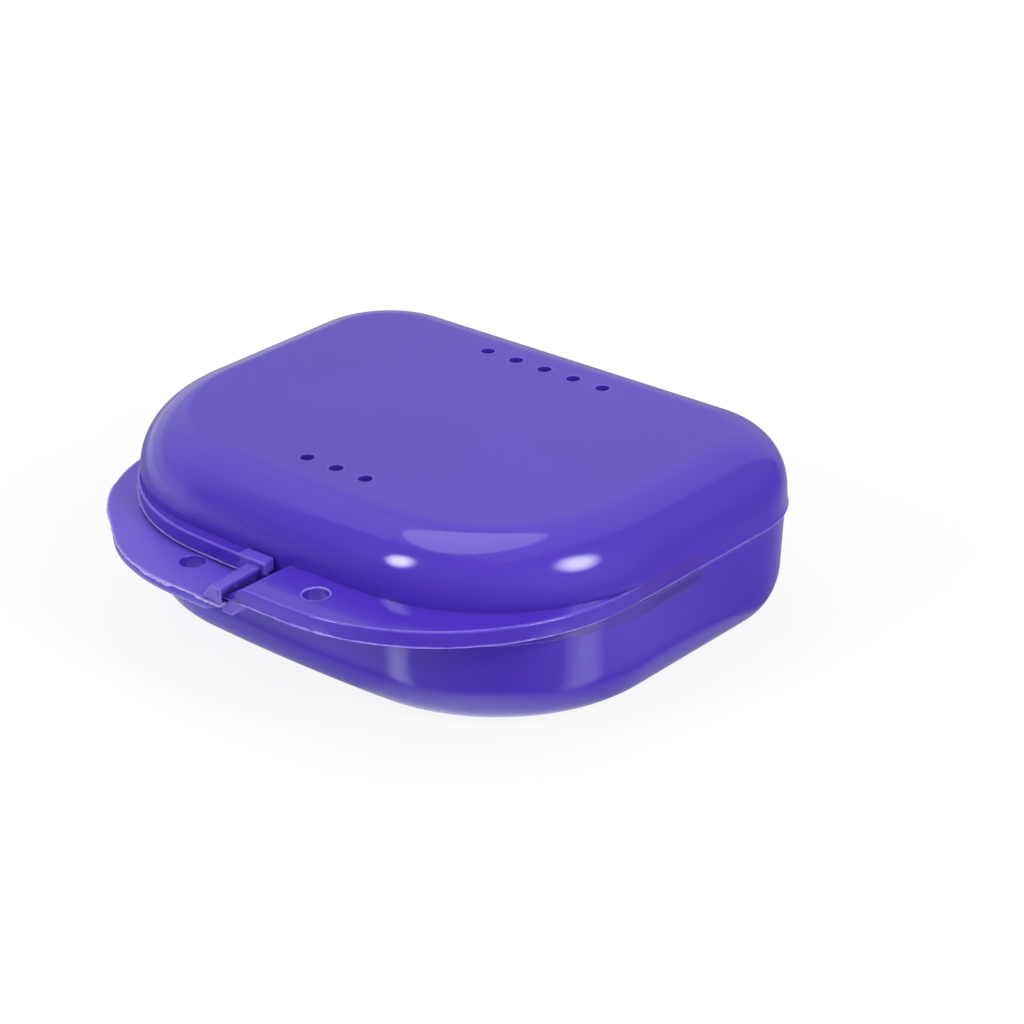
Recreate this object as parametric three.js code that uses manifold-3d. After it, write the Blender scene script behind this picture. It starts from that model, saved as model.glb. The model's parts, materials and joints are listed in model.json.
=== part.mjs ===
// Hinged case for a denture, retainer or mouth guard.
// Two moulded shells meet on a level parting plane. They swing on two hinge pins at the back and
// snap together with a catch between their front lips. The lid's lip is on the right of the
// catch and the base's on the left, so each half leaves the other's lip free for a thumb.
// Millimetres, +Z up, front towards -Y. The origin is the middle of the footprint, on the table.
import * as THREE from 'three';
import { mergeVertices } from 'three/addons/utils/BufferGeometryUtils.js';
import Module from 'manifold-3d';

const wasm = await Module();
wasm.setup();

// Overall sizes, over the lips and the hinge knuckles
const caseWidth = 80;
const caseDepth = 77;
const caseHeight = 25;

// Shells
const wall = 1.6;
const baseHeight = 14.45;
const partingGap = 0.35;
const clearance = 0.3;
const cutOverrun = 1;

// Plan of the shells and of the flanges round their mouths
const backRadius = 14.7;
const frontRadius = 25.6;
const frontBow = 290;
const baseLipWidth = 9.5;
const baseLipRadius = 32;
const lidLipWidth = 8.4;
const lidLipRadius = 30;
const lipBow = 515;
const bandWidth = 1.9;
const bandRadius = 28.3;
const bandBow = 277;
const flangeSetIn = 0.1;
const flangeThickness = 2.1;
const flangeChamfer = 0.5;

// Section of the lid: upright skirt, then a broad rounded edge under the flat top
const lidDraft = 0.2;
const lidEdgeReach = 7.8;
const lidEdgeRise = 7.9;

// Section of the base: set in a little under the lid, then a rounded bottom edge
const baseSetIn = 0.35;
const baseDraft = 0.52;
const baseEdgeReach = 4.8;
const baseEdgeRise = 7;

// Rim that stands up inside the base's mouth and centres the lid
const rimThickness = 1;
const rimRise = 1.5;
const rimDrop = 3;

// Vents in the lid
const ventRadius = 0.95;
const ventPitch = 5;
const backVentCount = 5;
const backVentFromWall = 10.55;
const frontVentCount = 3;
const frontVentFromWall = 11.85;

// Cord hole in each lip
const cordHoleRadius = 1.65;
const cordHoleChamfer = 0.3;
const cordHoleX = 10.8;
const cordHoleFromWall = 3.5;

// Catch: a rib across each lip's free end, with a block at the wall end and a bead on its face
const catchGap = 0.4;
const lipEndSlope = 2.9;
const ribHeight = 2.2;
const ribTopWidth = 1.8;
const ribFootWidth = 3.8;
const ribSetBack = 0.15;
const blockHeight = 2.5;
const blockWidth = 4.1;
const blockProud = 0.4;
const beadRise = 0.25;
const beadRadius = 0.4;
const beadLength = 5.6;

// Hinges
const hingeSpacing = 30;
const knuckleRadius = 2.4;
const lidKnuckleWidth = 6;
const baseKnuckleWidth = 3;
const armRise = 5;
const pinRadius = 1;
const pinClearance = 0.15;
const pinHeadRadius = 1.7;
const pinHeadThickness = 0.8;

// Steps round each curve
const backSteps = 8;
const frontSteps = 9;
const bowSteps = 6;
const edgeSteps = 6;
const holeSides = 12;
const knuckleSides = 24;

// Places that follow from the sizes
const halfWidth = caseWidth / 2;
const frontWall = baseLipWidth - caseDepth / 2;
const hingeY = caseDepth / 2 - knuckleRadius;
const backWall = hingeY - knuckleRadius - clearance;
const lidFoot = baseHeight + partingGap;
const lidHeight = caseHeight - lidFoot;
const hingeDrop = partingGap / 2;
const catchFace = catchGap / 2;
const blockFront = frontWall - bandWidth - blockProud;
const blockBack = frontWall - catchGap;

const bodyPlan = {
  side: halfWidth,
  back: backWall,
  backRadius,
  front: frontWall,
  frontRadius,
  bow: frontBow,
};
const flangePlan = { ...bodyPlan, side: halfWidth - flangeSetIn, back: backWall - flangeSetIn };
const bandPlan = {
  ...flangePlan,
  front: frontWall - bandWidth,
  frontRadius: bandRadius,
  bow: bandBow,
};

function toSolid(geometry) {
  geometry.deleteAttribute('normal');
  geometry.deleteAttribute('uv');
  const merged = mergeVertices(geometry);
  const vertProperties = new Float32Array(merged.attributes.position.array);
  const triVerts = new Uint32Array(merged.index.array);
  return new wasm.Manifold(new wasm.Mesh({ numProp: 3, vertProperties, triVerts }));
}

function toMesh(name, solid, material) {
  const { vertProperties, triVerts } = solid.getMesh();
  const indexed = new THREE.BufferGeometry();
  indexed.setAttribute('position', new THREE.BufferAttribute(vertProperties, 3));
  indexed.setIndex(new THREE.BufferAttribute(triVerts, 1));
  const geometry = indexed.toNonIndexed();
  geometry.computeVertexNormals();
  const mesh = new THREE.Mesh(geometry, material);
  mesh.name = name;
  return mesh;
}

// Outline of a plan, moved inwards by inset: two back corners, then two front corners joined
// by a shallow bow. A joined arc starts where the last one ends.
function outline(plan, inset) {
  const backX = plan.side - plan.backRadius;
  const backY = plan.back - plan.backRadius;
  const cornerX = plan.side - plan.frontRadius;
  const bowY = plan.front + plan.bow;
  const cornerY = bowY - Math.sqrt((plan.bow - plan.frontRadius) ** 2 - cornerX ** 2);
  const turn = Math.atan2(cornerX, bowY - cornerY);
  const down = 1.5 * Math.PI;
  const arcs = [
    { x: backX, y: backY, radius: plan.backRadius, from: 0, to: Math.PI / 2, steps: backSteps },
    { x: -backX, y: backY, radius: plan.backRadius, from: Math.PI / 2, to: Math.PI, steps: backSteps },
    { x: -cornerX, y: cornerY, radius: plan.frontRadius, from: Math.PI, to: down - turn, steps: frontSteps },
    { x: 0, y: bowY, radius: plan.bow, from: down - turn, to: down + turn, steps: bowSteps, joined: true },
    {
      x: cornerX,
      y: cornerY,
      radius: plan.frontRadius,
      from: down + turn,
      to: 2 * Math.PI,
      steps: frontSteps,
      joined: true,
    },
  ];
  const points = [];
  for (const { x, y, radius, from, to, steps, joined } of arcs) {
    for (let step = joined ? 1 : 0; step <= steps; step += 1) {
      const angle = THREE.MathUtils.lerp(from, to, step / steps);
      const reach = radius - inset;
      points.push(new THREE.Vector2(x + reach * Math.cos(angle), y + reach * Math.sin(angle)));
    }
  }
  return points;
}

// Closed solid through the plan's outline at each level, from the lowest to the highest
function loft(plan, levels) {
  const rings = levels.map(({ z, inset }) => ({ z, points: outline(plan, inset) }));
  const count = rings[0].points.length;
  const positions = rings.flatMap(({ z, points }) => points.flatMap((p) => [p.x, p.y, z]));
  const index = [];
  for (let ring = 0; ring < rings.length - 1; ring += 1) {
    for (let i = 0; i < count; i += 1) {
      const next = (i + 1) % count;
      const low = ring * count;
      const high = low + count;
      index.push(low + i, low + next, high + next, low + i, high + next, high + i);
    }
  }
  const top = (rings.length - 1) * count;
  for (const [a, b, c] of THREE.ShapeUtils.triangulateShape(rings[0].points, [])) {
    index.push(a, c, b);
  }
  for (const [a, b, c] of THREE.ShapeUtils.triangulateShape(rings.at(-1).points, [])) {
    index.push(top + a, top + b, top + c);
  }
  const geometry = new THREE.BufferGeometry();
  geometry.setAttribute('position', new THREE.Float32BufferAttribute(positions, 3));
  geometry.setIndex(index);
  return toSolid(geometry);
}

// Prism whose section is drawn in X and Z, between two places along Y
function prismAlongY(section, from, to) {
  const shape = new THREE.Shape(section.map(([x, z]) => new THREE.Vector2(x, z)));
  const geometry = new THREE.ExtrudeGeometry(shape, { depth: to - from, bevelEnabled: false });
  return toSolid(geometry.rotateX(Math.PI / 2).translate(0, to, 0));
}

// Prism whose section is drawn in Y and Z, between two places along X
function prismAlongX(section, from, to) {
  const shape = new THREE.Shape(section.map(([y, z]) => new THREE.Vector2(y, z)));
  const geometry = new THREE.ExtrudeGeometry(shape, { depth: to - from, bevelEnabled: false });
  return toSolid(geometry.rotateX(Math.PI / 2).rotateZ(Math.PI / 2).translate(from, 0, 0));
}

function rodAlongX(radius, from, to, y, z, sides) {
  const geometry = new THREE.CylinderGeometry(radius, radius, to - from, sides);
  return toSolid(geometry.rotateZ(-Math.PI / 2).translate((from + to) / 2, y, z));
}

function rodAlongY(radius, from, to, x, z, sides) {
  const geometry = new THREE.CylinderGeometry(radius, radius, to - from, sides);
  return toSolid(geometry.translate(x, (from + to) / 2, z));
}

function rodAlongZ(radius, from, to, x, y, sides) {
  const geometry = new THREE.CylinderGeometry(radius, radius, to - from, sides);
  return toSolid(geometry.rotateX(Math.PI / 2).translate(x, y, (from + to) / 2));
}

function levelsOfSkin({ height, setIn, draft, edgeReach, edgeRise }, skin, mouth) {
  const foot = setIn + skin;
  const levels = [{ z: mouth, inset: foot }];
  for (let step = 0; step <= edgeSteps; step += 1) {
    const angle = (step / edgeSteps) * (Math.PI / 2);
    levels.push({
      z: height - edgeRise + (edgeRise - skin) * Math.sin(angle),
      inset: foot + draft + (edgeReach - skin) * (1 - Math.cos(angle)),
    });
  }
  return levels;
}

// The flange of one half, in the half's own frame: z is 0 on its parting face and grows away
// from it, and its lip is on the +X side. The free end of the lip slopes back from its foot.
// The flange ends where the front corners run into the sides.
function flange({ lipWidth, lipRadius }) {
  const lipPlan = {
    ...flangePlan,
    front: frontWall - lipWidth,
    frontRadius: lipRadius,
    bow: lipBow,
  };
  const levels = [
    { z: 0, inset: 0 },
    { z: flangeThickness - flangeChamfer, inset: 0 },
    { z: flangeThickness, inset: flangeChamfer },
  ];
  const far = halfWidth + cutOverrun;
  const over = flangeThickness + cutOverrun;
  const ahead = lipPlan.front - cutOverrun;
  const flangeEnd = frontWall + frontRadius;
  const lipRegion = prismAlongY([
    [catchFace, -cutOverrun],
    [far, -cutOverrun],
    [far, over],
    [catchFace + lipEndSlope, over],
    [catchFace + lipEndSlope, flangeThickness],
    [catchFace, 0],
  ], ahead, flangeEnd);
  const bandEnd = catchFace + blockWidth + clearance;
  const bandRegion = prismAlongY([
    [-far, -cutOverrun],
    [-bandEnd, -cutOverrun],
    [-bandEnd, over],
    [-far, over],
  ], ahead, flangeEnd);
  const lip = loft(lipPlan, levels).intersect(lipRegion);
  const band = loft(bandPlan, levels).intersect(bandRegion);
  return lip.add(band);
}

// The rib, block and bead of the catch, on the parting face of the lip, past the plane z = 0
function catchRib({ lipWidth }) {
  const sunk = flangeThickness / 2;
  const ribFront = frontWall - lipWidth + ribSetBack;
  const rib = prismAlongY([
    [catchFace, -ribHeight],
    [catchFace + ribTopWidth, -ribHeight],
    [catchFace + ribFootWidth, 0],
    [catchFace + ribFootWidth, sunk],
    [catchFace + lipEndSlope, sunk],
    [catchFace, 0],
  ], ribFront, blockBack);
  const block = prismAlongY([
    [catchFace, -blockHeight],
    [catchFace + blockWidth, -blockHeight],
    [catchFace + blockWidth, sunk],
    [catchFace + lipEndSlope, sunk],
    [catchFace, 0],
  ], blockFront, blockBack);
  const beadX = catchFace - beadRise + beadRadius;
  const beadFrom = (ribFront + blockFront - beadLength) / 2;
  const bead = rodAlongY(beadRadius, beadFrom, beadFrom + beadLength, beadX, -ribHeight / 2, holeSides);
  return rib.add(block).add(bead);
}

function cordHole() {
  const wide = cordHoleRadius + cordHoleChamfer;
  const profile = [
    [0, -cutOverrun],
    [wide, -cutOverrun],
    [wide, 0],
    [cordHoleRadius, cordHoleChamfer],
    [cordHoleRadius, flangeThickness - cordHoleChamfer],
    [wide, flangeThickness],
    [wide, flangeThickness + cutOverrun],
    [0, flangeThickness + cutOverrun],
  ].map(([radius, z]) => new THREE.Vector2(radius, z));
  const geometry = new THREE.LatheGeometry(profile, holeSides);
  return toSolid(geometry.rotateX(Math.PI / 2).translate(cordHoleX, frontWall - cordHoleFromWall, 0));
}

// One half without its hinge, in its own frame: skin and flange, hollowed, with the catch
function half(section) {
  const skin = loft(bodyPlan, levelsOfSkin(section, 0, 0));
  const hollow = loft(bodyPlan, levelsOfSkin(section, wall, -cutOverrun));
  const hollowed = skin.add(flange(section)).subtract(hollow);
  return hollowed.add(catchRib(section)).subtract(cordHole());
}

function vents() {
  const rows = [
    [backVentCount, backWall - backVentFromWall],
    [frontVentCount, frontWall + frontVentFromWall],
  ];
  const holes = [];
  for (const [count, y] of rows) {
    for (let i = 0; i < count; i += 1) {
      const x = (i - (count - 1) / 2) * ventPitch;
      holes.push(rodAlongZ(ventRadius, lidHeight - wall - cutOverrun, lidHeight + cutOverrun, x, y, holeSides));
    }
  }
  return holes.reduce((all, hole) => all.add(hole));
}

// Rim inside the base's mouth, in the base's own frame
function rim() {
  const outer = wall + clearance;
  const inner = outer + rimThickness;
  const ring = [
    { z: -partingGap - rimRise, inset: outer },
    { z: rimDrop, inset: outer },
  ];
  const hole = [
    { z: -partingGap - rimRise - cutOverrun, inset: inner },
    { z: rimDrop + cutOverrun, inset: inner },
  ];
  return loft(bodyPlan, ring).subtract(loft(bodyPlan, hole));
}

// One knuckle with the arm that carries it on the back wall, in a half's own frame
function knuckle(from, to, setIn) {
  const rooted = backWall - setIn - wall / 2;
  const arm = prismAlongX([
    [rooted, 0],
    [hingeY, 0],
    [hingeY, knuckleRadius - hingeDrop],
    [rooted, armRise],
  ], from, to);
  return rodAlongX(knuckleRadius, from, to, hingeY, -hingeDrop, knuckleSides).add(arm);
}

const pinBoreRadius = pinRadius + pinClearance;
const lidKnuckleReach = lidKnuckleWidth / 2;
const baseKnuckleStart = lidKnuckleReach + clearance;
const baseKnuckleReach = baseKnuckleStart + baseKnuckleWidth;
const hingeCentres = [-hingeSpacing / 2, hingeSpacing / 2];

function pinBore(centre) {
  const reach = baseKnuckleReach + cutOverrun;
  return rodAlongX(pinBoreRadius, centre - reach, centre + reach, hingeY, -hingeDrop, holeSides);
}

function lidShell() {
  const section = {
    height: lidHeight,
    setIn: 0,
    draft: lidDraft,
    edgeReach: lidEdgeReach,
    edgeRise: lidEdgeRise,
    lipWidth: lidLipWidth,
    lipRadius: lidLipRadius,
  };
  let shell = half(section).subtract(vents());
  for (const centre of hingeCentres) {
    shell = shell.add(knuckle(centre - lidKnuckleReach, centre + lidKnuckleReach, 0));
    shell = shell.subtract(pinBore(centre));
  }
  return shell;
}

function baseShell() {
  const section = {
    height: baseHeight,
    setIn: baseSetIn,
    draft: baseDraft,
    edgeReach: baseEdgeReach,
    edgeRise: baseEdgeRise,
    lipWidth: baseLipWidth,
    lipRadius: baseLipRadius,
  };
  let shell = half(section).add(rim());
  for (const centre of hingeCentres) {
    shell = shell.add(knuckle(centre - baseKnuckleReach, centre - baseKnuckleStart, baseSetIn));
    shell = shell.add(knuckle(centre + baseKnuckleStart, centre + baseKnuckleReach, baseSetIn));
    shell = shell.subtract(pinBore(centre));
  }
  return shell;
}

// A pin lies along X, with its head past the outer knuckle
function hingePin(centre) {
  const outward = Math.sign(centre);
  const headFrom = baseKnuckleReach + clearance;
  const headTo = headFrom + pinHeadThickness;
  const profile = [
    [0, -baseKnuckleReach],
    [pinRadius, -baseKnuckleReach],
    [pinRadius, headFrom],
    [pinHeadRadius, headFrom],
    [pinHeadRadius, (headFrom + headTo) / 2],
    [pinRadius, headTo],
    [0, headTo],
  ].map(([radius, x]) => new THREE.Vector2(radius, x));
  const geometry = new THREE.LatheGeometry(profile, holeSides);
  return toSolid(geometry.rotateZ(-outward * Math.PI / 2));
}

const lidPlastic = new THREE.MeshStandardMaterial({ color: 0x4e32b8, roughness: 0.22, metalness: 0 });
const basePlastic = new THREE.MeshStandardMaterial({ color: 0x4c30b6, roughness: 0.22, metalness: 0 });
const pinSteel = new THREE.MeshStandardMaterial({ color: 0xb9bcc2, roughness: 0.3, metalness: 1 });

const denturecase = new THREE.Group();

const lid = toMesh('lid_shell', lidShell(), lidPlastic);
lid.position.z = lidFoot;
denturecase.add(lid);

// The base is the same half turned over: its lip comes out on the left of the catch
const base = toMesh('base_shell', baseShell(), basePlastic);
base.rotation.y = Math.PI;
base.position.z = baseHeight;
denturecase.add(base);

for (const centre of hingeCentres) {
  const side = centre < 0 ? 'left' : 'right';
  const pin = toMesh(`hinge_pin_${side}`, hingePin(centre), pinSteel);
  pin.position.set(centre, hingeY, lidFoot - hingeDrop);
  denturecase.add(pin);
}

export default denturecase;
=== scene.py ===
import json
import math

import bmesh
import bpy
import numpy as np
from mathutils import Matrix, Vector, geometry, noise


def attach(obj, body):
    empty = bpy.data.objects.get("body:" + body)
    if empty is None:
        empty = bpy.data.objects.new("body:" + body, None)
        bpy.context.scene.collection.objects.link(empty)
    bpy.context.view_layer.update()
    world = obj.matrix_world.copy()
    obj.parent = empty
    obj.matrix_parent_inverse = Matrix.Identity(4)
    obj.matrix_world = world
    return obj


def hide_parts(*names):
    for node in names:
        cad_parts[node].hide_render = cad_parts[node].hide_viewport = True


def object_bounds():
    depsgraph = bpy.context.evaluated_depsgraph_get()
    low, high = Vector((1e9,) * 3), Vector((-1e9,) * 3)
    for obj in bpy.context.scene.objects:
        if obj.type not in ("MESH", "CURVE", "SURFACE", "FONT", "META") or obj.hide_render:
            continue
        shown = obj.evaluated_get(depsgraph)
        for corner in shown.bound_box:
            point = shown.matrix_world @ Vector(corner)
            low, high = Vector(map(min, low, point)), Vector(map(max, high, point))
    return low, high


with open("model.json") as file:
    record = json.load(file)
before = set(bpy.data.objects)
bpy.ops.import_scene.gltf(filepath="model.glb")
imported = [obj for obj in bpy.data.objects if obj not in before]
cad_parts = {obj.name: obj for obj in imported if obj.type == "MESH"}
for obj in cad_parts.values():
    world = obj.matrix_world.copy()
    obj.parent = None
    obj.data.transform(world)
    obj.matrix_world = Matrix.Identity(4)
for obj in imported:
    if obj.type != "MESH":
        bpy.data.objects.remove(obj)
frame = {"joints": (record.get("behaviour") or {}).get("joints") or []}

cad_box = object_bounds()

# A hinged case for a denture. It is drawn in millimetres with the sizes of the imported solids, apart from
# the corner of the base's lip, and has finer forms on it. Lamps, table and materials are in metres.
# Both halves are drawn in one frame: z is 0 on the parting face and grows away from it, and the
# half's own lip is on the +X side of the catch. The base is that drawing turned over.
MM = 0.001
SAME_PLACE = 1e-7
SIDE = cad_box[1].x / MM
DEPTH = (cad_box[1].y - cad_box[0].y) / MM
CASE_HEIGHT = cad_box[1].z / MM
HINGE_Y, HINGE_Z = (place / MM for place in frame["joints"][0]["pos_m"][1:])
CLEARANCE = 0.3
PARTING_GAP = 0.35
LID_FOOT = HINGE_Z + PARTING_GAP / 2
BASE_HEIGHT = HINGE_Z - PARTING_GAP / 2
THICK = 2.1
WALL = 1.6

# The two halves. The wall starts set_in from the plan and leans in by draft, up to a rounded form of
# this rise and reach. ring and mouth say how strong the painted highlight, a pale colour, is on the edges
# of the cord hole and of the wall, and flatter how far the lip's corner is drawn in. A rib's knee is where
# its face starts to slope to its foot, and web is the length of the short web at its front. A flash's
# shape gives its share of the full reach and thickness along the edge from the catch.
LID = {"height": CASE_HEIGHT - LID_FOOT, "set_in": 0.0, "draft": 0.2, "reach": 7.8, "rise": 7.9,
       "lip_width": 8.4, "lip_radius": 30.0, "lip_edge": 0.3, "lip_side": SIDE - 0.14,
       "ring": 0.9, "mouth": 0.8, "flatter": 0.0,
       "rib": {"face_top": -0.4, "face_foot": 0.85, "knee": 0.8, "top_width": 1.7, "foot": 3.5,
               "height": 1.95, "web": 0.0},
       "flash": {"reach": 0.22, "thick": 0.2,
                 "shape": ((0, 0.4), (7, 0.5), (10, 1.0), (15, 1.0), (18, 0.5), (40, 0.6), (52, 0))}}
BASE = {"height": BASE_HEIGHT, "set_in": 0.35, "draft": 0.52, "reach": 4.8, "rise": 7.0,
        "lip_width": 9.5, "lip_radius": 31.2, "lip_edge": 1.2, "lip_side": SIDE - 0.4,
        "ring": 0.3, "mouth": 0.1, "flatter": 0.7,
        "rib": {"face_top": -0.62, "face_foot": 0.75, "knee": 1.8, "top_width": 1.75, "foot": 3.05,
                "height": 2.2, "web": 0.3},
        "flash": {"reach": 0.4, "thick": 0.5,
                  "shape": ((0, 0.7), (3, 0.9), (4.2, 0.35), (8, 0.35), (9, 0.9), (13, 0.8), (16, 0.5),
                            (40, 0.4), (52, 0))}}
BAND_FLASH = {"reach": 0.14, "thick": 0.12, "shape": ((0, 0.7), (35, 1.0), (48, 0))}

KNUCKLE_RADIUS = DEPTH / 2 - HINGE_Y
BACK_WALL = HINGE_Y - KNUCKLE_RADIUS - CLEARANCE
BACK_RADIUS = 14.7
FRONT_WALL = BASE["lip_width"] - DEPTH / 2
FRONT_RADIUS = 25.6
FRONT_BOW = 290.0
LIP_BOW = 515.0
BAND_WIDTH = 1.9
BAND_RADIUS = 28.3
BAND_BOW = 277.0
# Where along the lip's edge from the catch its corner is drawn in, and over about what length
FLATTER_AT = 28.0
FLATTER_LENGTH = 6.5
# Lips, bands and hinge arms end about this deep inside the wall
INTO_WALL = 0.9

HOLE_X = 10.8
HOLE_Y = FRONT_WALL - 3.35
HOLE_RADIUS = 1.65
HOLE_EDGE = 0.18
VENT_RADIUS = 0.93
VENT_EDGE = 0.13
VENT_PITCH = 5.0
BACK_VENT_Y = BACK_WALL - 10.55
FRONT_VENT_Y = FRONT_WALL + 11.85

# Height of the wall's edge. It stands a little past the parting faces of the lip and the band, which
# run into it, so that no two faces lie in one plane.
MOUTH = -0.02

# The catch, along X in a half's own frame. The rib leans over the other half's sharp lip end, and
# from the front to the back it drifts a little to the lip's side.
LIP_END = -0.35
LIP_END_SLOPE = 3.3
RIB_DRIFT = 0.07
RIB_SET_BACK = 0.14
RIB_LEAN = 0.3
RIB_LEAN_FROM = 0.1
RIB_LEAN_OVER = 0.25
RIB_ROUNDING = 0.16
WEB_KNEE = 1.0
NUB_RADIUS = 0.28
NUB_REACH = 0.3
ROOT = 0.9
ROOT_X = 2.4
BLOCK_FACE = -0.9
BLOCK_FACE_BACK = -0.5
BLOCK_FACE_FOOT = 0.75
BLOCK_KNEE = 1.3
BLOCK_END = 3.95
BLOCK_HEIGHT = 2.85
BLOCK_ROUNDING = 0.25
BLOCK_FRONT = FRONT_WALL - BAND_WIDTH - 0.35
BLOCK_BACK = FRONT_WALL - 0.14
BAND_END = BLOCK_END + 0.12

HINGE_CENTRES = (-15.0, 15.0)
HINGE_DROP = PARTING_GAP / 2
LID_KNUCKLE_REACH = 3.0
BASE_KNUCKLE_FROM = LID_KNUCKLE_REACH + CLEARANCE
BASE_KNUCKLE_TO = BASE_KNUCKLE_FROM + 3.0
BORE_RADIUS = 1.15
ARM_RISE = 5.0

BODY_PLAN = {"side": SIDE, "back": BACK_WALL, "back_radius": BACK_RADIUS,
             "front": FRONT_WALL, "radius": FRONT_RADIUS, "bow": FRONT_BOW}
BAND_PLAN = {**BODY_PLAN, "front": FRONT_WALL - BAND_WIDTH, "radius": BAND_RADIUS, "bow": BAND_BOW}


class Piece:
    """Points in millimetres, faces over them, and how much painted light, a pale colour for highlights on
    edges and for light through thin flash, each point has.
    """

    def __init__(self):
        self.points = []
        self.painted_light = []
        self.faces = []

    def ring(self, points, painted_light=0.0):
        first = len(self.points)
        self.points += [tuple(float(v) for v in p) for p in points]
        self.painted_light += [float(v) for v in np.broadcast_to(painted_light, len(points))]
        return list(range(first, len(self.points)))

    def strip(self, rings):
        """Faces between closed rings with equal counts of points."""
        for low, high in zip(rings, rings[1:]):
            for i in range(len(low)):
                j = (i + 1) % len(low)
                self.faces.append((low[i], low[j], high[j], high[i]))

    def cap(self, *loops):
        """Flat face inside the first loop and outside the others."""
        flat = [i for loop in loops for i in loop]
        outlines = [[Vector(self.points[i]) for i in loop] for loop in loops]
        for triangle in geometry.tessellate_polygon(outlines):
            self.faces.append(tuple(flat[i] for i in triangle))

    def join(self, other, matrix=Matrix()):
        first = len(self.points)
        self.points += [tuple(matrix @ Vector(p)) for p in other.points]
        self.painted_light += other.painted_light
        self.faces += [tuple(first + i for i in face) for face in other.faces]


def arc(x, y, radius, start, end, count):
    angle = np.linspace(start, end, count)
    return np.stack([x + radius * np.cos(angle), y + radius * np.sin(angle)], 1)


def front_centres(plan):
    """Centre of the front corner, height of the bow's centre, and the angle at which they join."""
    corner_x = plan["side"] - plan["radius"]
    bow_y = plan["front"] + plan["bow"]
    corner_y = bow_y - math.sqrt((plan["bow"] - plan["radius"]) ** 2 - corner_x ** 2)
    return corner_x, corner_y, bow_y, math.atan2(corner_x, bow_y - corner_y)


def outline(plan, inset):
    """Closed plan, moved inwards by inset, counterclockwise from the right side."""
    corner_x, corner_y, bow_y, turn = front_centres(plan)
    back_x = plan["side"] - plan["back_radius"]
    back_y = plan["back"] - plan["back_radius"]
    back = plan["back_radius"] - inset
    corner = plan["radius"] - inset
    down = 1.5 * math.pi
    return np.concatenate([
        arc(back_x, back_y, back, 0, 0.5 * math.pi, 33),
        arc(-back_x, back_y, back, 0.5 * math.pi, math.pi, 33),
        arc(-corner_x, corner_y, corner, math.pi, down - turn, 44),
        arc(0, bow_y, plan["bow"] - inset, down - turn, down + turn, 18)[1:-1],
        arc(corner_x, corner_y, corner, down + turn, 2 * math.pi, 44),
    ])


def front_line(plan, inset, start_x, end_y, count):
    """The plan's line from start_x on the front, round the right corner, up to end_y."""
    corner_x, corner_y, bow_y, turn = front_centres(plan)
    down = 1.5 * math.pi
    bow_count = 80
    line = np.concatenate([
        arc(0, bow_y, plan["bow"] - inset, down - 0.01, down + turn, bow_count)[:-1],
        arc(corner_x, corner_y, plan["radius"] - inset, down + turn, 2 * math.pi, 400),
        [[plan["side"] - inset, corner_y + 30]],
    ])
    along = np.concatenate([[0], np.cumsum(np.hypot(*np.diff(line, axis=0).T))])
    start = np.interp(start_x, line[:bow_count, 0], along[:bow_count])
    end = np.interp(end_y, line[bow_count:, 1], along[bow_count:])
    at = np.linspace(start, end, count)
    return np.stack([np.interp(at, along, line[:, 0]), np.interp(at, along, line[:, 1])], 1)


def level(points, z):
    return np.column_stack([points, np.broadcast_to(z, len(points))])


def ragged(points, seed):
    """Uneven values between 0 and 1 along a line, the same at each run."""
    values = [noise.noise(Vector((x * 0.35, y * 0.35, seed)))
              + 0.6 * noise.noise(Vector((x * 1.3, y * 1.3, seed + 9.0)))
              + 0.35 * noise.noise(Vector((x * 3.1, y * 3.1, seed + 21.0)))
              for x, y in points]
    return np.clip(0.5 + 0.6 * np.array(values), 0, 1)


def quarter_turn(steps):
    """Shares of the radius along and across at each step of a rounded edge."""
    for step in range(steps + 1):
        angle = 0.5 * math.pi * step / steps
        yield math.sin(angle), 1 - math.cos(angle)


def skin_levels(section, skin, steps):
    """(z, inset) of one face of the shell, from the skirt to the flat."""
    foot = section["set_in"] + skin + section["draft"]
    low = section["height"] - section["rise"]
    return [(low + (section["rise"] - skin) * along, foot + (section["reach"] - skin) * across)
            for along, across in quarter_turn(steps)]


def hole_rings(piece, x, y, radius, edge, top, bottom, sides, painted_light):
    """Round hole down from top to bottom. Returns its two outermost rings.

    edge is the radius of its two rounded edges. The upper one gets a painted highlight, a pale colour, of
    the strength given last."""
    turn = [(math.sin(a), math.cos(a)) for a in np.linspace(0, 0.5 * math.pi, 5)]
    levels = [(top, edge + 0.14, 0.0), (top, edge + 0.04, 0.4 * painted_light)]
    levels += [(top - edge * (1 - c), edge * (1 - s), painted_light * min(1, 1.4 * c)) for s, c in turn]
    levels += [(top - 1.5 * edge, 0.0, 0.0)]
    levels += [(bottom + edge * (1 - s), edge * (1 - c), 0.0) for s, c in turn]
    levels.append((bottom, edge + 0.14, 0.0))
    rings = []
    for z, out, light in levels:
        circle = arc(x, y, radius + out, 0, 2 * math.pi, sides + 1)[:-1]
        rings.append(piece.ring(level(circle, z), light))
    piece.strip(rings)
    return rings[0], rings[-1]


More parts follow.
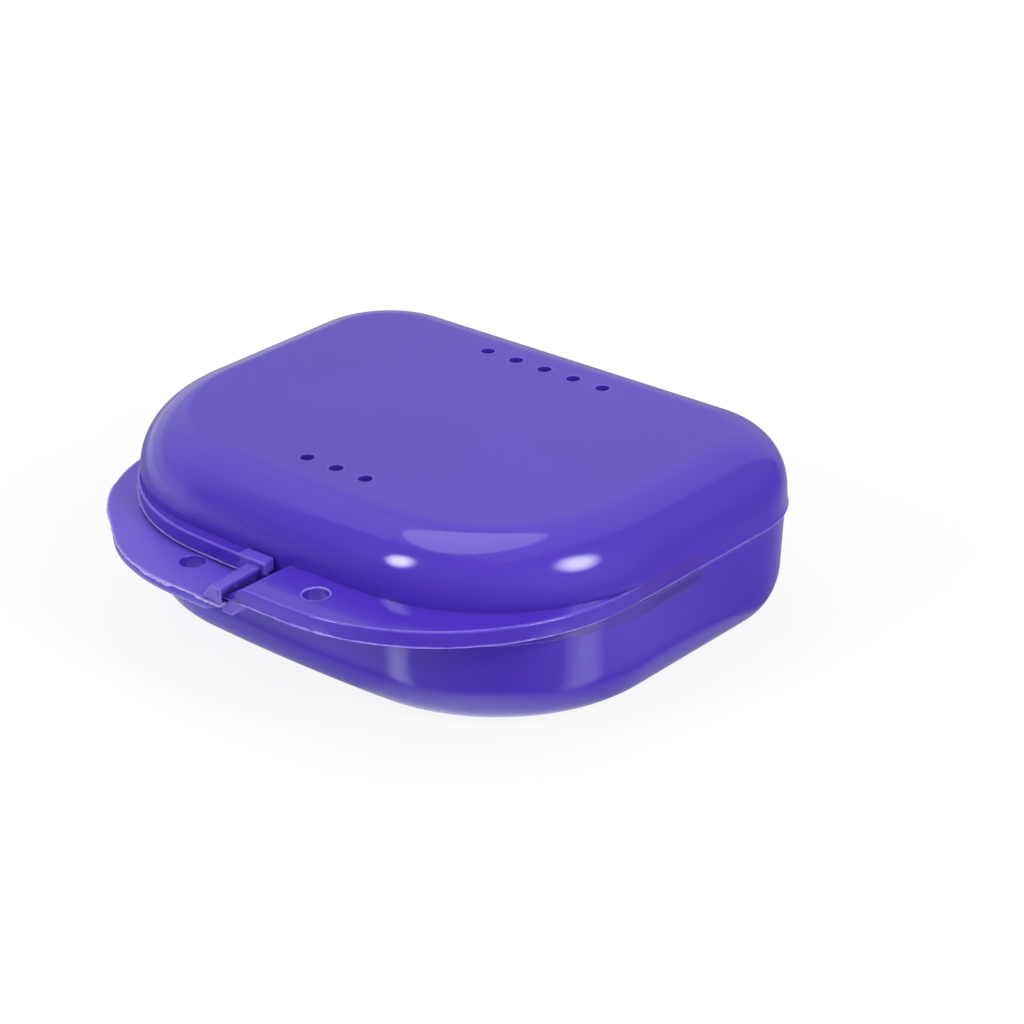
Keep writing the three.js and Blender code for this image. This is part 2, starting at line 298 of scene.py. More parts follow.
def shell(section, vents):
    """The hollow skin of one half, closed, with a fine bead round its mouth's outer edge."""
    piece = Piece()
    set_in = section["set_in"]
    mouth = outline(BODY_PLAN, 0)
    uneven = 0.03 * ragged(mouth, 3.0 + set_in)
    # The bead gets a painted highlight, a pale line, only where it is free, which is from a little behind
    # the front wall
    free = np.clip((mouth[:, 1] - FRONT_WALL - 2) / 3, 0, 1) * section["mouth"]
    # Height, distance in from the plan, strength of the painted highlight
    edge = [(MOUTH, 0.55, 0.0), (MOUTH, 0.2, 0.2), (0.02, 0.06, 1.0), (0.08, 0.0, 1.0), (0.14, 0.0, 1.0),
            (0.2, 0.04, 0.5), (0.26, 0.1, 0.1), (0.36, 0.12, 0.0), (1.2, 0.13, 0.0)]
    rings = []
    for z, inset, painted_light in edge:
        slack = uneven if painted_light == 1.0 else np.zeros(len(mouth))
        points = outline(BODY_PLAN, set_in + inset)
        away = mouth - outline(BODY_PLAN, 1.0)
        rings.append(piece.ring(level(points + away * (slack - 0.02)[:, None], z), painted_light * free))
    outer = skin_levels(section, 0, 26)
    outer.append((section["height"], outer[-1][1] + 0.3))
    rings += [piece.ring(level(outline(BODY_PLAN, inset), z)) for z, inset in outer]
    inner = skin_levels(section, WALL, 16)
    inner.append((section["height"] - WALL, inner[-1][1] + 0.3))
    foot = set_in + WALL
    low = [(0.3, foot), (0.08, foot - 0.09), (MOUTH, foot - 0.3)]
    inside = [piece.ring(level(outline(BODY_PLAN, inset), z)) for z, inset in inner[::-1] + low]
    bottom = section["height"] - WALL
    holes = [hole_rings(piece, x, y, VENT_RADIUS, VENT_EDGE, section["height"], bottom, 28, 0.25)
             for x, y in vents]
    piece.cap(rings[-1], *[top for top, _ in holes])
    piece.cap(inside[0], *[bottom for _, bottom in holes])
    piece.strip(rings)
    piece.strip(inside)
    piece.strip([inside[-1], rings[0]])
    return piece


def flange(plan, set_in, start, slope, edge, crest, ring, seed, flash, flatter):
    """Lip or band: a slab from inside the wall to the plan, with a ragged flash on its parting edge.

    start is where its free end meets the parting face and slope how far that end leans back.
    edge is the radius of its far outer edge and crest how far that edge stands above the flat.
    ring is how strong the painted highlight on the cord hole's edge is, or None for no hole. flatter is
    how far the plan's corner is drawn in."""
    piece = Piece()
    # Radius of the free end's corner, where the slab ends on the side, and its outer face's inset
    corner = 0.35
    end_y = 6.0
    face = 0.1
    top = THICK
    body = {**BODY_PLAN, "side": BODY_PLAN["side"] - set_in}
    # Height, share of the flash's thickness, distance in from the plan, painted light (pale colour for light
    # through the flash and a highlight on the rounded outer edge), share of its reach
    levels = [(0.0, 0.0, 0.6, 0.0, 0.0), (0.0, 0.0, 0.2, 0.1, 0.0), (0.0, 0.0, 0.04, 0.9, 0.8),
              (0.0, 0.2, 0.0, 1.0, 1.0), (0.0, 0.75, 0.0, 1.0, 1.0), (0.0, 1.0, 0.05, 0.8, 0.4),
              (0.03, 1.15, face, 0.2, 0.0), (0.12, 1.15, face, 0.0, 0.0)]
    for along, across in quarter_turn(8):
        levels.append((top - edge + edge * along, 0.0, face + edge * across, 0.25 * along, 0.0))
    if crest:
        for share, out in ((0.3, 0.08), (0.8, 0.2), (1.0, 0.32)):
            levels.append((top - crest * share, 0.0, face + edge + out, 0.1 * (1 - share), 0.0))
    levels.append((levels[-1][0], 0.0, levels[-1][2] + 0.12, 0.0, 0.0))
    rings = []
    for z, share, inset, painted_light, out in levels:
        lean = slope * min(z, top) / top
        begin = start + lean + max(inset - face, 0.0) * (1.0 if z > 1 else 0.4)
        line = front_line(plan, inset, begin + corner, end_y, 320)
        fringe = line - front_line(plan, inset + 1, begin + corner, end_y, 320)
        along = np.concatenate([[0], np.cumsum(np.hypot(*np.diff(line, axis=0).T))])
        amount = np.interp(along, *zip(*flash["shape"]))
        outwards = out * flash["reach"] * amount * ragged(line, seed)
        outwards -= flatter * np.exp(-((along - FLATTER_AT) / FLATTER_LENGTH) ** 2)
        line = line + fringe * outwards[:, None]
        deep = share * flash["thick"] * amount * (0.55 + 0.9 * ragged(line, seed + 3))
        first = line[0]
        turn = np.linspace(0, 0.5 * math.pi, 6)[:-1]
        round_x = first[0] - corner * np.cos(turn)
        round_y = first[1] + corner * (1 - np.sin(turn))
        hidden = front_line(body, INTO_WALL, begin, end_y, 60)[::-1]
        heights = [np.full(len(turn), z + deep[0]), z + deep, np.full(len(hidden), z)]
        light = np.concatenate([np.full(len(turn) + len(line), painted_light), np.zeros(len(hidden))])
        points = np.concatenate([np.stack([round_x, round_y], 1), line, hidden])
        rings.append(piece.ring(level(points, np.concatenate(heights)), light))
    piece.strip(rings)
    tops, lows = [], []
    if ring is not None:
        far = levels[-1][0]
        top_ring, low_ring = hole_rings(piece, HOLE_X, HOLE_Y, HOLE_RADIUS, HOLE_EDGE, far, 0.0, 48, ring)
        tops, lows = [top_ring], [low_ring]
    piece.cap(rings[-1], *tops)
    piece.cap(rings[0], *lows)
    return piece


def rounded(corners, radius):
    """Convex polygon with its corners rounded."""
    points = []
    steps = 4
    count = len(corners)
    for i in range(count):
        here = np.array(corners[i], float)
        before = np.array(corners[i - 1], float) - here
        after = np.array(corners[(i + 1) % count], float) - here
        before /= np.hypot(*before)
        after /= np.hypot(*after)
        half = 0.5 * math.acos(np.clip(before @ after, -1, 1))
        cut = radius / math.tan(half)
        centre = here + (before + after) / np.hypot(*(before + after)) * radius / math.sin(half)
        first, last = here + before * cut - centre, here + after * cut - centre
        start = math.atan2(first[1], first[0])
        sweep = (math.atan2(last[1], last[0]) - start + math.pi) % (2 * math.pi) - math.pi
        for step in range(steps + 1):
            angle = start + sweep * step / steps
            points.append(centre + radius * np.array([math.cos(angle), math.sin(angle)]))
    return np.array(points)


def shrunk(points, inset):
    """Closed outline moved inwards along its own normals."""
    along = np.roll(points, -1, 0) - np.roll(points, 1, 0)
    normal = np.stack([along[:, 1], -along[:, 0]], 1) / np.hypot(*along.T)[:, None]
    area = np.sum(points[:, 0] * np.roll(points[:, 1], -1) - np.roll(points[:, 0], -1) * points[:, 1])
    return points - normal * inset * np.sign(area)


def drawn(stations, edge, place, bore=None, painted_light=0.0):
    """Closed form through sections with equal counts of points, with both ends rounded.

    A station is how far along it lies and its section. place turns (u, v, along) into a point, and
    the last argument is how strong the painted highlight on the rounded ends' edges is."""
    piece = Piece()
    rounding = [(edge * (1 - math.sin(a)), edge * (1 - math.cos(a)), painted_light)
                for a in np.linspace(0.5 * math.pi, 0, 5)]
    rounding = [(0.0, edge + 0.12, 0.0)] + rounding + [(edge + 0.1, 0.0, 0.0)]
    (start, first), (end, last) = stations[0], stations[-1]
    levels = [(start + back, first, inset, light) for back, inset, light in rounding]
    levels += [(at, section, 0.0, 0.0) for at, section in stations[1:-1]]
    levels += [(end - back, last, inset, light) for back, inset, light in rounding[::-1]]
    rings = [piece.ring([place(u, v, at) for u, v in shrunk(section, inset)], light)
             for at, section, inset, light in levels]
    piece.strip(rings)
    tube = []
    if bore:
        u, v, radius = bore
        circle = arc(u, v, radius, 0, 2 * math.pi, 33)[:-1]
        tube = [piece.ring([place(a, b, at) for a, b in circle]) for at in (start, end)]
        piece.strip(tube)
    piece.cap(rings[0], *tube[:1])
    piece.cap(rings[-1], *tube[1:])
    return piece


def catch(section):
    """Rib across the lip's free end, the block at its wall end and the two nubs on its face."""
    piece = Piece()
    rib = section["rib"]
    front = FRONT_WALL - section["lip_width"] + RIB_SET_BACK
    web_end = front + rib["web"]

    def upright(x, z, y):
        return (x, y, z)

    def leaning(x, z, y):
        """Past the parting face the rib is shifted a little to the front."""
        share = min(1.0, max(0.0, RIB_LEAN_FROM - z) / RIB_LEAN_OVER)
        return (x, y - RIB_LEAN * share, z)

    def slice_at(y, face_foot=rib["face_foot"], knee=rib["knee"]):
        drift = RIB_DRIFT * (y - front)
        top_x = rib["face_top"] + drift
        return y, rounded([(top_x, -rib["height"]), (top_x + rib["top_width"] + 0.4 * drift, -rib["height"]),
                           (rib["foot"] + drift, 0.0), (rib["foot"] + drift, ROOT), (ROOT_X, ROOT),
                           (face_foot, 0.0), (top_x + 0.001, -knee)], RIB_ROUNDING)

    slices = [slice_at(front)]
    if rib["web"]:
        web_foot = rib["face_top"] - 0.02
        slices = [slice_at(front, web_foot, WEB_KNEE), slice_at(web_end, web_foot, WEB_KNEE),
                  slice_at(web_end + 0.12)]
    slices.append(slice_at(BLOCK_FRONT + 0.6))
    # The rounded ends of the rib, the block and the nubs get a painted highlight, a pale colour on their
    # edges
    piece.join(drawn(slices, 0.2, leaning, painted_light=0.25))

    def block_at(y, face):
        return y, rounded([(face, -BLOCK_HEIGHT), (BLOCK_END, -BLOCK_HEIGHT), (BLOCK_END, ROOT),
                           (ROOT_X, ROOT), (BLOCK_FACE_FOOT, 0.0), (face, -BLOCK_KNEE)], BLOCK_ROUNDING)

    piece.join(drawn([block_at(BLOCK_FRONT, BLOCK_FACE), block_at(BLOCK_BACK, BLOCK_FACE_BACK)],
                     BLOCK_ROUNDING, upright, painted_light=0.12))
    rib_nub = (BLOCK_FRONT - 4.1, rib["face_top"] + RIB_DRIFT * 3 + 0.65, -1.25)
    block_nub = (BLOCK_FRONT + 0.9, BLOCK_FACE + 0.72, -0.95)
    for y, x, z in (rib_nub, block_nub):
        nub = arc(x, z, NUB_RADIUS, 0, 2 * math.pi, 17)[:-1]
        piece.join(drawn([(y - NUB_REACH, nub), (y + NUB_REACH, nub)], 0.2, upright, painted_light=0.5))
    return piece


def knuckle(section, start, end):
    """Hinge knuckle with the arm that carries it, bored for the pin."""
    rooted = BACK_WALL - section["set_in"] - INTO_WALL
    centre = np.array([HINGE_Y, -HINGE_DROP])
    root = np.array([rooted, ARM_RISE]) - centre
    tangent = math.atan2(root[1], root[0]) - math.acos(KNUCKLE_RADIUS / np.hypot(*root))
    last = -math.pi - math.asin(HINGE_DROP / KNUCKLE_RADIUS) + 0.02
    round_part = arc(*centre, KNUCKLE_RADIUS, tangent, last, 60)
    top = np.linspace([rooted, ARM_RISE], round_part[0], 8)[:-1]
    foot = np.linspace(round_part[-1], [rooted, 0.0], 5)[1:]
    profile = np.concatenate([top, round_part, foot])
    bore = (*centre, BORE_RADIUS)
    return drawn([(start, profile), (end, profile)], 0.22, lambda y, z, x: (x, y, z), bore)


def rim():
    """Rim inside the base's mouth that centres the lid."""
    piece = Piece()
    # Height and distance in from the plan
    levels = [(3.0, 1.9), (-1.6, 1.9), (-1.78, 1.97), (-1.85, 2.15), (-1.85, 2.65), (-1.78, 2.83),
              (-1.6, 2.9), (2.7, 2.9), (3.0, 2.6)]
    rings = [piece.ring(level(outline(BODY_PLAN, inset), z)) for z, inset in levels]
    piece.strip(rings + [rings[0]])
    return piece


def mirrored(piece):
    """The same piece on the other side of the catch."""
    other = Piece()
    other.join(piece, Matrix.Diagonal((-1, 1, 1, 1)))
    return other


def half(section, vents, seed):
    """One moulded half without its knuckles: shell, lip, band and catch."""
    piece = shell(section, vents)
    lip_plan = {**BODY_PLAN, "side": section["lip_side"], "front": FRONT_WALL - section["lip_width"],
                "radius": section["lip_radius"], "bow": LIP_BOW}
    band_plan = {**BAND_PLAN, "side": section["lip_side"]}
    piece.join(flange(lip_plan, section["set_in"], LIP_END, LIP_END_SLOPE, section["lip_edge"], 0.0,
                      section["ring"], seed, section["flash"], section["flatter"]))
    piece.join(mirrored(flange(band_plan, section["set_in"], BAND_END, 0.0, 0.3, 0.12, None, seed + 40,
                               BAND_FLASH, 0.0)))
    piece.join(catch(section))
    return piece


def to_object(name, piece, matrix, material):
    """A piece as a smooth mesh in metres, with its creases kept sharp."""
    mesh = bpy.data.meshes.new(name)
    points = [matrix @ Vector(p) * MM for p in piece.points]
    mesh.from_pydata(points, [], piece.faces)
    attribute = mesh.attributes.new("painted_light", "FLOAT", "POINT")
    attribute.data.foreach_set("value", np.array(piece.painted_light, np.float32))
    work = bmesh.new()
    work.from_mesh(mesh)
    # Points in one place become one point, which takes out the faces without area
    bmesh.ops.remove_doubles(work, verts=work.verts, dist=SAME_PLACE)
    bmesh.ops.recalc_face_normals(work, faces=work.faces)
    for face in work.faces:
        face.smooth = True
    work.to_mesh(mesh)
    work.free()
    mesh.set_sharp_from_angle(angle=math.radians(38))
    mesh.materials.append(material)
    obj = bpy.data.objects.new(name, mesh)
    bpy.context.scene.collection.objects.link(obj)
    return obj


class Graph:
    """Adds nodes to one node tree. A value is a number, a colour or another node's output."""

    def __init__(self, owner):
        owner.use_nodes = True
        self.nodes, self.links = owner.node_tree.nodes, owner.node_tree.links

    def set(self, socket, value):
        if isinstance(value, bpy.types.NodeSocket):
            self.links.new(value, socket)
        elif isinstance(value, tuple) and len(socket.default_value) > len(value):
            socket.default_value = (*value, 1)
        else:
            socket.default_value = value

    def add(self, kind, *values, **settings):
        node = self.nodes.new("ShaderNode" + kind)
        for name, setting in settings.items():
            setattr(node, name, setting)
        for socket, value in zip(node.inputs, values):
            self.set(socket, value)
        return node

    def math(self, operation, *values):
        return self.add("Math", *values, operation=operation).outputs[0]

    def times(self, value, *others):
        for other in others:
            value = self.math("MULTIPLY", value, other)
        return value

    def total(self, value, *others):
        for other in others:
            value = self.math("ADD", value, other)
        return value

    def scaled(self, value, factor, offset):
        return self.math("MULTIPLY_ADD", value, factor, offset)

    def vector(self, operation, *values):
        return self.add("VectorMath", *values, operation=operation).outputs["Vector"]

    def distance(self, first, second):
        return self.add("VectorMath", first, second, operation="DISTANCE").outputs["Value"]

    def leftward(self, place):
        """1 where a direction seen from above points straight to the left, and -1 to the right."""
        heading = self.vector("NORMALIZE", self.vector("MULTIPLY", place, (1.0, 1.0, 0.0)))
        return self.times(self.add("SeparateXYZ", heading).outputs["X"], -1.0)

    def noise(self, place, scale, detail):
        node = self.add("TexNoise")
        for name, value in (("Vector", place), ("Scale", scale), ("Detail", detail)):
            self.set(node.inputs[name], value)
        return node.outputs["Fac"]

    def ranged(self, value, low, high, to_low, to_high):
        return self.add("MapRange", value, low, high, to_low, to_high).outputs["Result"]

    def blended(self, share, first, second):
        node = self.add("Mix", data_type="RGBA")
        sockets = {socket.identifier: socket for socket in node.inputs}
        self.set(sockets["Factor_Float"], share)
        self.set(sockets["A_Color"], first)
        self.set(sockets["B_Color"], second)
        return next(socket for socket in node.outputs if socket.identifier == "Result_Color")

    def mixed(self, share, first, second):
        return self.add("MixShader", share, first, second).outputs[0]

    def bump(self, height, strength, distance, normal=None):
        node = self.add("Bump")
        node.inputs["Strength"].default_value = strength
        node.inputs["Distance"].default_value = distance
        self.set(node.inputs["Height"], height)
        if normal:
            self.set(node.inputs["Normal"], normal)
        return node.outputs["Normal"]


def plastic(name, colour, light, seed, parting, away, hole_x):
    """Glossy moulded polypropylene: even colour, painted highlights on edges and painted light through thin
    flash, faint waviness and handling marks.

    It is dull on the parting face and past it, so on the catch too, and in the cord hole; outside the cord
    hole these dull faces are also paled by a painted sheen. parting is the height of that face, away is 1
    when the other half is above it and -1 when it is below."""
    material = bpy.data.materials.new(name)
    graph = Graph(material)
    shader = graph.nodes["Principled BSDF"]
    place = graph.add("TexCoord").outputs["Object"]

    deep = tuple(c * 0.95 for c in colour)
    pale = tuple(min(1.0, c * 1.05) for c in colour)
    clouds = graph.ranged(graph.noise(place, 28 + seed, 2), 0.3, 0.7, 0, 1)
    body = graph.blended(clouds, deep, pale)
    height = graph.add("SeparateXYZ", place).outputs["Z"]
    # Painted sheen: past the parting face the colour turns paler, standing in for the soft reflection of the
    # dull faces
    past = graph.scaled(height, away, -away * parting * MM)
    dull = graph.ranged(past, -0.0001, -0.00002, 0.0, 1.0)
    body = graph.blended(dull, body, tuple(c + sheen * (1 - c) for c, sheen in zip(colour, PAINTED_SHEEN)))
    # Painted light: a pale colour where edges catch highlights and where light shines through thin flash, in
    # patches
    painted_light = graph.add("Attribute", attribute_name="painted_light").outputs["Fac"]
    patches = graph.ranged(graph.noise(place, 900, 3), 0.35, 0.65, 0.55, 1.0)
    graph.set(shader.inputs["Base Color"], graph.blended(graph.times(painted_light, patches), body, light))

    flat = graph.vector("MULTIPLY", place, (1.0, 1.0, 0.0))
    off_axis = graph.distance(flat, (hole_x * MM, HOLE_Y * MM, 0.0))
    in_hole = graph.ranged(off_axis, 0.00172, 0.00178, 1.0, 0.0)
    dull = graph.math("MAXIMUM", dull, in_hole)
    marks = graph.ranged(graph.noise(place, 160, 6), 0.45, 0.75, 0.08, 0.14)
    graph.set(shader.inputs["Roughness"], graph.scaled(dull, 0.22, marks))
    shader.inputs["IOR"].default_value = 1.49
    shader.inputs["Subsurface Weight"].default_value = 0.35
    shader.inputs["Subsurface Radius"].default_value = (0.4, 0.25, 1.0)
    shader.inputs["Subsurface Scale"].default_value = 0.0015

    waves = graph.bump(graph.noise(place, 75, 1), 0.25, 0.00008)
    graph.set(shader.inputs["Normal"], graph.bump(graph.noise(place, 1500, 4), 0.12, 0.000012, waves))
    return material


def steel(name):
    """Drawn stainless wire, with fine lines along X."""
    material = bpy.data.materials.new(name)
    graph = Graph(material)
    shader = graph.nodes["Principled BSDF"]
    shader.inputs["Metallic"].default_value = 1
    place = graph.add("TexCoord").outputs["Object"]
    stretched = graph.add("Mapping")
    graph.set(stretched.inputs["Vector"], place)
    stretched.inputs["Scale"].default_value = (60, 2600, 2600)
    lines = graph.noise(stretched.outputs["Vector"], 1, 3)
    share = graph.ranged(lines, 0.3, 0.7, 0, 1)
    graph.set(shader.inputs["Base Color"], graph.blended(share, (0.52, 0.53, 0.55), (0.66, 0.67, 0.69)))
    graph.set(shader.inputs["Roughness"], graph.ranged(lines, 0, 1, 0.22, 0.36))
    graph.set(shader.inputs["Normal"], graph.bump(lines, 0.2, 0.00001))
    return material


def hinge_pin(side, centre, material):
    """Steel pin with a low domed head past the outer knuckle."""
    piece = Piece()
    # Radius, and how far outwards from the middle knuckle's centre
    profile = [(0.0, -6.3), (0.7, -6.3), (0.9, -6.22), (1.0, -6.0), (1.0, 6.6), (1.5, 6.6), (1.64, 6.64),
               (1.7, 6.76), (1.68, 6.92), (1.55, 7.1), (1.3, 7.24), (0.95, 7.34), (0.5, 7.39), (0.0, 7.4)]
    outward = math.copysign(1, centre)
    angles = np.linspace(0, 2 * math.pi, 41)[:-1]
    rings = [piece.ring([(along * outward, radius * math.cos(a), radius * math.sin(a)) for a in angles])
             for radius, along in profile if radius > 0]
    piece.strip(rings)
    piece.cap(rings[0])
    piece.cap(rings[-1])
    matrix = Matrix.Translation((centre, HINGE_Y, LID_FOOT - HINGE_DROP))
    obj = to_object("steel_pin_" + side, piece, matrix, material)
    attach(obj, "base")
    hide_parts("hinge_pin_" + side)


# The plastics' colours, the pale colours of their painted light (highlights on edges and light through
# thin flash), and the painted sheen on their dull faces
LID_COLOUR = (0.075, 0.032, 0.48)
BASE_COLOUR = (0.072, 0.030, 0.47)
PAINTED_EDGE_LIGHT = (0.36, 0.28, 0.80)
PAINTED_FLASH_LIGHT = (0.42, 0.37, 0.76)
PAINTED_SHEEN = (0.048, 0.0396, 0.144)
lid_plastic = plastic("lid_polypropylene", LID_COLOUR, PAINTED_EDGE_LIGHT, 0, LID_FOOT, -1, HOLE_X)
base_plastic = plastic("base_polypropylene", BASE_COLOUR, PAINTED_FLASH_LIGHT, 3, BASE_HEIGHT, 1, -HOLE_X)
pin_steel = steel("drawn_steel")

# The two moulded halves and the two pins
back_row = [(place * VENT_PITCH, BACK_VENT_Y) for place in range(-2, 3)]
front_row = [(place * VENT_PITCH, FRONT_VENT_Y) for place in range(-1, 2)]
lid_piece = half(LID, back_row + front_row, 1.0)
base_piece = half(BASE, [], 5.0)
base_piece.join(rim())
for hinge in HINGE_CENTRES:
    lid_piece.join(knuckle(LID, hinge - LID_KNUCKLE_REACH, hinge + LID_KNUCKLE_REACH))
    base_piece.join(knuckle(BASE, hinge - BASE_KNUCKLE_TO, hinge - BASE_KNUCKLE_FROM))
    base_piece.join(knuckle(BASE, hinge + BASE_KNUCKLE_FROM, hinge + BASE_KNUCKLE_TO))

lid = to_object("moulded_lid", lid_piece, Matrix.Translation((0, 0, LID_FOOT)), lid_plastic)
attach(lid, "lid")
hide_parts("lid_shell")

turned = Matrix.Translation((0, 0, BASE_HEIGHT)) @ Matrix.Rotation(math.pi, 4, "Y")
base = to_object("moulded_base", base_piece, turned, base_plastic)
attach(base, "base")
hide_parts("base_shell")

for hinge in HINGE_CENTRES:
    hinge_pin("left" if hinge < 0 else "right", hinge, pin_steel)


def softbox(name, azimuth, elevation, distance, width, height, radiance, layers=((1.0, 1.0),)):
    """Oval lamp that faces the case. Azimuth 0 is in front of it and 90 on its right, in degrees.

    Its layers, each a size and a share of the radiance, make it fade towards its rim."""
    a, e = math.radians(azimuth), math.radians(elevation)
    toward = Vector((math.sin(a) * math.cos(e), -math.cos(a) * math.cos(e), math.sin(e)))
    for number, (size, share) in enumerate(layers):
        lamp = bpy.data.lights.new(f"{name}_{number}", "AREA")
        lamp.shape = "ELLIPSE"
        lamp.size, lamp.size_y = width * size, height * size
        lamp.energy = share * radiance * math.pi * lamp.size * lamp.size_y
        obj = bpy.data.objects.new(lamp.name, lamp)
        obj.location = toward * (distance - 0.001 * number) + Vector((0, 0, 0.015))
        obj.rotation_euler = toward.to_track_quat("Z", "Y").to_euler()
        obj.visible_camera = False
        bpy.context.scene.collection.objects.link(obj)


# The lamps: a broad even one overhead, and two smaller ones with soft rims
FADING = ((1.3, 0.2), (1.1, 0.25), (0.9, 0.25), (0.65, 0.3))
softbox("overhead", -80, 80, 0.65, 0.58, 0.46, 1.6)
softbox("left_front", -21, 34, 0.9, 0.2, 0.27, 13.5, FADING)
softbox("right", 91, 36, 0.9, 0.3, 0.34, 11.5, FADING)


# The pale backdrop that the case mirrors: its brightness, and how far to the left it starts and is full
BACKDROP_GLOW = 0.36
BACKDROP_SIDE = (0.5, 0.7)
# The mirrored canopy ends where a direction's front or right part is this share of its height
CANOPY_EDGE = 0.46
# The mirrored studio grows this much brighter upwards, all of it up to this height and only the canopy
# above it
BRIGHTER_UPWARDS = 0.95
BRIGHT_HEIGHT = 0.42
# The table top is wide enough for every view, and a little below the case's flat underside, so that no
# two faces lie in one plane
TABLE_RADIUS = 2.5
TABLE_DROP = 0.00003


def studio_world():
    """White for the camera, a studio for reflections, an even grey for plain light.

    The mirrored studio has a pale canopy above and behind with sharp edges in front and on the
    right, a bright wall on the left, and a pale backdrop low on the left."""
    world = bpy.data.worlds.new("studio")
    bpy.context.scene.world = world
    graph = Graph(world)
    graph.nodes.clear()
    view = graph.add("TexCoord").outputs["Generated"]
    across, along, up = graph.add("SeparateXYZ", view).outputs
    leftward = graph.leftward(view)
    high = graph.math("MAXIMUM", up, 0.0)
    wall = graph.ranged(graph.scaled(high, -0.2, leftward), 0.70, 0.76, 0.0, 1.0)
    wall = graph.times(wall, graph.scaled(along, -0.5, 0.62), graph.scaled(high, -0.6, 1.0))
    backdrop = graph.ranged(leftward, *BACKDROP_SIDE, 0.0, BACKDROP_GLOW)
    backdrop = graph.times(backdrop, graph.ranged(up, 0.18, 0.23, 1.0, 0.0))
    right = graph.times(graph.math("POWER", graph.math("MAXIMUM", across, 0.0), 4.0), 0.7)
    front_edge = graph.scaled(up, CANOPY_EDGE, along)
    right_edge = graph.math("SUBTRACT", graph.times(up, CANOPY_EDGE), across)
    canopy = graph.ranged(graph.math("MINIMUM", front_edge, right_edge), -0.03, 0.03, 0.0, 1.0)
    behind = graph.math("POWER", graph.math("MAXIMUM", along, 0.0), 2.0)
    behind = graph.times(behind, graph.scaled(canopy, 0.36, 0.1))
    above = graph.math("MAXIMUM", graph.math("SUBTRACT", up, BRIGHT_HEIGHT), 0.0)
    above = graph.times(graph.scaled(above, BRIGHTER_UPWARDS, 0.1), canopy)
    around = graph.scaled(graph.math("MINIMUM", up, BRIGHT_HEIGHT), BRIGHTER_UPWARDS, 0.12)
    glow = graph.total(around, wall, right, behind, above, backdrop)

    def background(strength):
        node = graph.add("Background")
        graph.set(node.inputs["Strength"], strength)
        return node.outputs[0]

    path = graph.add("LightPath").outputs
    sharp = graph.math("MAXIMUM", path["Is Glossy Ray"], path["Is Transmission Ray"])
    mirrored_studio = background(graph.math("MAXIMUM", glow, 0.0))
    lighting = graph.mixed(sharp, background(0.55), mirrored_studio)
    graph.add("OutputWorld", graph.mixed(path["Is Camera Ray"], lighting, background(1.0)))


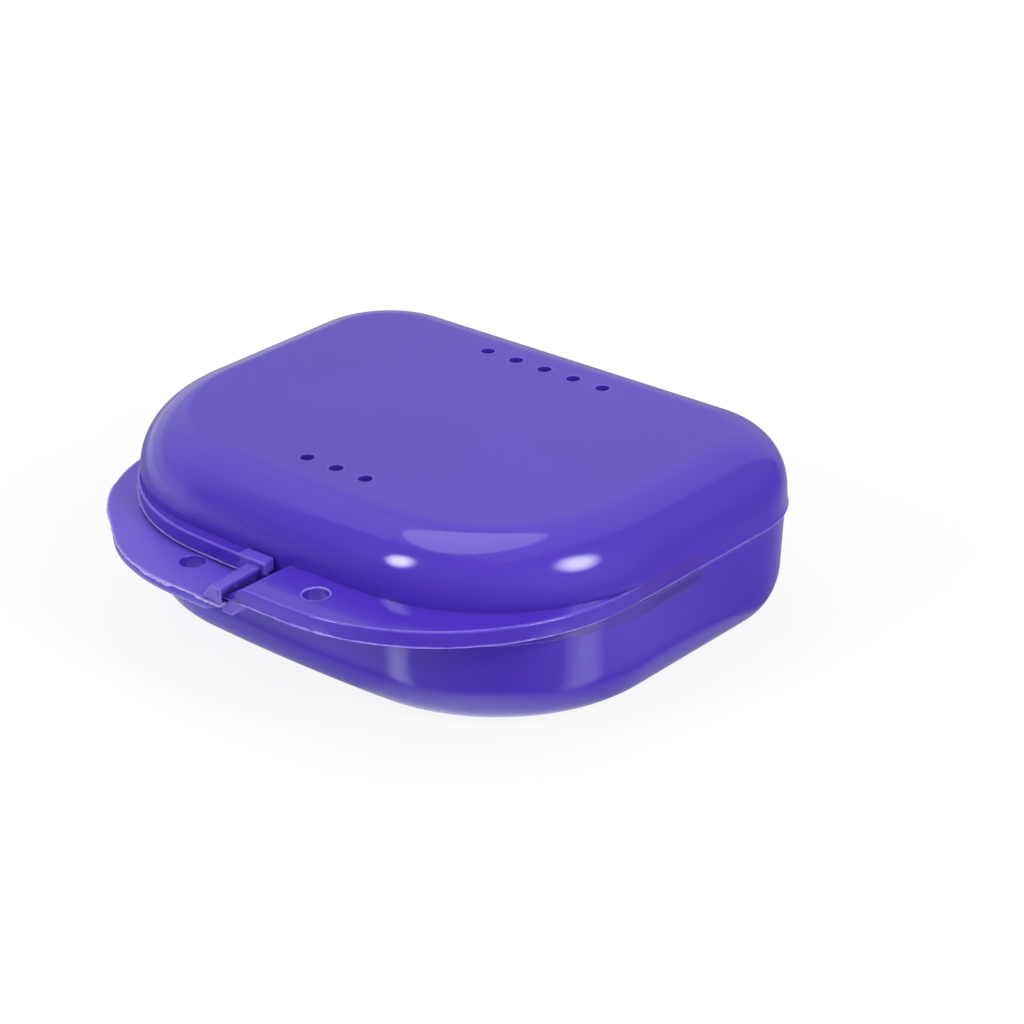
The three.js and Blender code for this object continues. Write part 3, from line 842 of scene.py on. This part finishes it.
def table():
    """Pale table top. The camera sees it nearly white, with the case's shadow on it.

    Mirrored in the case it is a glossy sheet. It glows in front of the case, on its right and behind
    it, mirrors the backdrop on the left in front, is dim in a line round the case, and is bright right
    under its rounded foot. For plain light it is pale, with a glow of its own in front on the left."""
    mesh = bpy.data.meshes.new("table_top")
    circle = arc(0, 0, TABLE_RADIUS, 0, 2 * math.pi, 65)[:-1]
    mesh.from_pydata(level(circle, -TABLE_DROP).tolist(), [], [tuple(range(64))])
    obj = bpy.data.objects.new("table_top", mesh)
    bpy.context.scene.collection.objects.link(obj)
    material = bpy.data.materials.new("pale_table")
    graph = Graph(material)
    place = graph.add("TexCoord").outputs["Object"]
    plain = graph.nodes["Principled BSDF"]
    plain.inputs["Base Color"].default_value = (0.9, 0.9, 0.9, 1)
    plain.inputs["Roughness"].default_value = 0.4
    plain.inputs["Emission Color"].default_value = (1, 1, 1, 1)
    sheet = graph.add("BsdfPrincipled")
    sheet.inputs["Base Color"].default_value = (0.15, 0.15, 0.15, 1)
    sheet.inputs["Roughness"].default_value = 0.06
    sheet.inputs["IOR"].default_value = 1.9
    sheet.inputs["Emission Color"].default_value = (1, 1, 1, 1)

    def pool(x, y, reach, glow):
        return graph.ranged(graph.distance(place, (x, y, 0.0)), 0.0, reach, glow, 0.0)

    # Distance from the case's outline: a rectangle with round corners
    radius = FRONT_RADIUS * MM
    half_depth = (BACK_WALL - FRONT_WALL) / 2 * MM
    middle = (0.0, (BACK_WALL + FRONT_WALL) / 2 * MM, 0.0)
    corner = (SIDE * MM - radius, half_depth - radius, 0.0)
    offset = graph.vector("ABSOLUTE", graph.vector("SUBTRACT", place, middle))
    offset = graph.vector("MAXIMUM", graph.vector("SUBTRACT", offset, corner), (0.0, 0.0, 0.0))
    beyond = graph.add("VectorMath", offset, operation="LENGTH").outputs["Value"]
    gap = graph.math("SUBTRACT", beyond, radius)

    pools = graph.total(pool(-0.014, -0.05, 0.055, 1.0), pool(0.062, -0.002, 0.032, 0.6),
                        pool(0.035, 0.065, 0.05, 0.25))
    pools = graph.times(pools, graph.ranged(gap, 0.003, 0.007, 0.3, 1.0))
    foot = graph.ranged(graph.add("SeparateXYZ", place).outputs["X"], 0.015, 0.034, 0.26, 0.38)
    foot = graph.times(foot, graph.ranged(gap, 0.001, 0.003, 1.0, 0.0))
    from_corner = graph.distance(place, (0.026, -0.021, 0.0))
    corner_glow = graph.ranged(from_corner, 0.004, 0.017, 1.4, 0.0)
    corner_glow = graph.times(corner_glow, graph.ranged(gap, 0.0025, 0.005, 1.0, 0.0))
    ahead = graph.add("VectorMath", place, (-0.6, -0.8, 0.0), operation="DOT_PRODUCT").outputs["Value"]
    backdrop = graph.ranged(graph.leftward(place), *BACKDROP_SIDE, 0.0, BACKDROP_GLOW)
    backdrop = graph.times(backdrop, graph.ranged(ahead, 0.07, 0.11, 0.0, 1.0))
    graph.set(sheet.inputs["Emission Strength"], graph.total(pools, foot, corner_glow, backdrop))
    graph.set(plain.inputs["Emission Strength"], pool(-0.03, -0.05, 0.06, 0.7))

    far = graph.add("VectorMath", place, operation="LENGTH").outputs["Value"]
    matt = graph.add("BsdfDiffuse", (0.95, 0.95, 0.95)).outputs[0]
    white = graph.add("Emission", (1.0, 1.0, 1.0), 1.0).outputs[0]
    shown = graph.mixed(graph.ranged(far, 0.05, 0.3, 0.88, 1.0), matt, white)
    path = graph.add("LightPath").outputs
    lit = graph.mixed(path["Is Glossy Ray"], plain.outputs[0], sheet.outputs[0])
    surface = graph.mixed(path["Is Camera Ray"], lit, shown)
    graph.set(graph.nodes["Material Output"].inputs["Surface"], surface)
    mesh.materials.append(material)


studio_world()
table()

# The photograph's camera, found from the vents, the lip holes, the seam and the outline. Its focal
# length and the picture's centre are in pixels.
PICTURE = 1024
FOCAL_LENGTH = 3122.86
CENTRE_X = 482.62
CENTRE_Y = 511.10
SENSOR = 36
camera = bpy.data.cameras.new("camera")
camera.sensor_width = SENSOR
camera.lens = FOCAL_LENGTH / PICTURE * SENSOR
camera.shift_x = (PICTURE / 2 - CENTRE_X) / PICTURE
camera.shift_y = (CENTRE_Y - PICTURE / 2) / PICTURE
camera_object = bpy.data.objects.new("camera", camera)
# Its place in metres, and the directions of the picture's right, bottom and depth
place = Vector((0.24968, -0.26723, 0.18861))
right = Vector((0.749272, 0.661958, -0.020065))
below = Vector((0.273966, -0.337402, -0.900612))
ahead = Vector((-0.602937, 0.669307, -0.43416))
turn = Matrix((right, -below, -ahead)).transposed().to_4x4()
camera_object.matrix_world = Matrix.Translation(place) @ turn
bpy.context.scene.collection.objects.link(camera_object)
bpy.context.scene.camera = camera_object
bpy.context.scene.view_settings.view_transform = "Standard"
